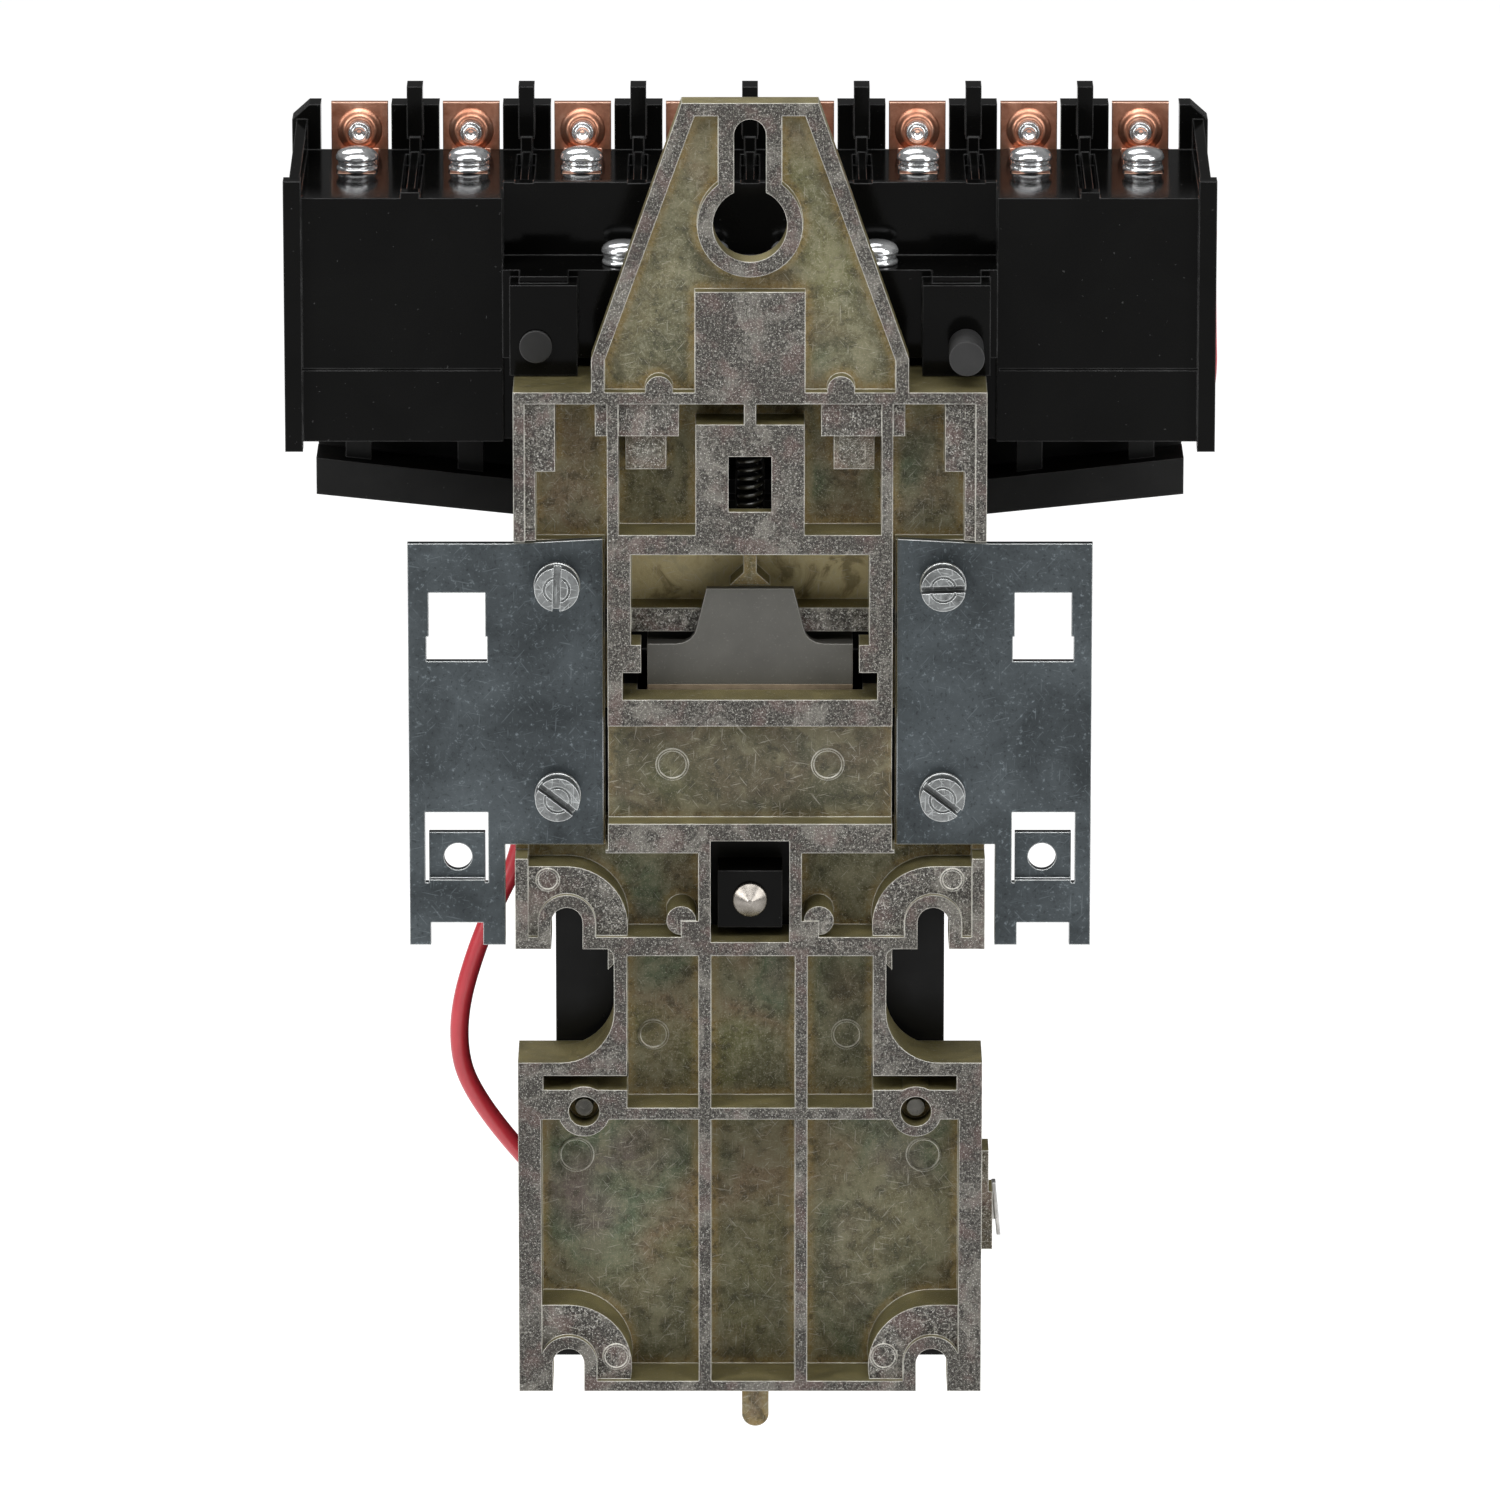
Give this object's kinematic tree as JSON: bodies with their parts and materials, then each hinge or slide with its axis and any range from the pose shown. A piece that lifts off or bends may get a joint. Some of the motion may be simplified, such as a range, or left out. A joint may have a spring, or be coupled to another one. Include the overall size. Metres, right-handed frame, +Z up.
{
  "type": "magnetic motor starter contactor",
  "caption": "Open-chassis magnetic contactor: zinc die-cast base with keyhole tongue, steel side brackets, wide black contact housing, armature window and red control leads.",
  "frame": {"origin": "on the flat rear mounting plane, on the centre line, at the lower lip of the central pad", "axes": "+Z up when mounted on a vertical panel, +Y out of the back towards the panel, front faces -Y, +X to the left when seen from the back"},
  "size_m": [0.1592, 0.0964, 0.2323],
  "materials": {
    "zinc_casting": "yellow passivated zinc die casting",
    "zinc_plated_steel": "blue zinc plate",
    "zinc_screw": "bright zinc plate",
    "black_phenolic": "gloss",
    "carrier_phenolic": "satin",
    "cover_phenolic": "satin",
    "peg_plastic": "rough",
    "copper": "bare copper",
    "silver": "satin",
    "spring_steel": "dark",
    "lamination_steel": "ground",
    "brown_laminate": "matt",
    "bobbin_nylon": "satin",
    "enamelled_copper": "enamel",
    "nickel": "spun nickel plate",
    "brass_terminal": "bare",
    "red_pvc": "satin PVC"
  },
  "bodies": {
    "base": {"base_casting": "zinc_casting", "side_bracket_left": "zinc_plated_steel", "side_bracket_right": "zinc_plated_steel", "bracket_screws": "zinc_screw", "contact_housing": "black_phenolic", "lug_pegs": "peg_plastic", "line_conductors": "copper", "load_conductors": "copper", "fixed_contact_tips": "silver", "barrier_plate": "carrier_phenolic", "housing_screws": "zinc_screw", "line_terminal_screws": "zinc_screw", "load_terminal_screws": "zinc_screw", "kickout_spring": "spring_steel", "magnet_core": "lamination_steel", "coil_bobbin": "bobbin_nylon", "coil_winding": "enamelled_copper", "guide_block": "black_phenolic", "conical_pin": "nickel", "coil_cover": "cover_phenolic", "cover_screws": "zinc_screw", "control_block": "cover_phenolic", "control_terminals": "brass_terminal", "control_terminal_screws": "zinc_screw", "coil_terminals": "brass_terminal", "side_clip": "spring_steel", "control_wire_left": "red_pvc", "control_wire_right": "red_pvc"},
    "carrier": {"crossbar": "carrier_phenolic", "contact_bridges": "copper", "moving_contact_tips": "silver", "contact_springs": "spring_steel", "armature": "lamination_steel", "armature_pin": "spring_steel", "armature_strip": "brown_laminate"}
  },
  "joints": [
    {"name": "carrier_travel", "type": "slide", "parent": "base", "child": "carrier", "axis": [0, 0, -1], "range_m": [0, 0.004], "stiffness_N_per_m": 2500, "springref_m": -0.004, "deforming": ["kickout_spring"]}
  ]
}
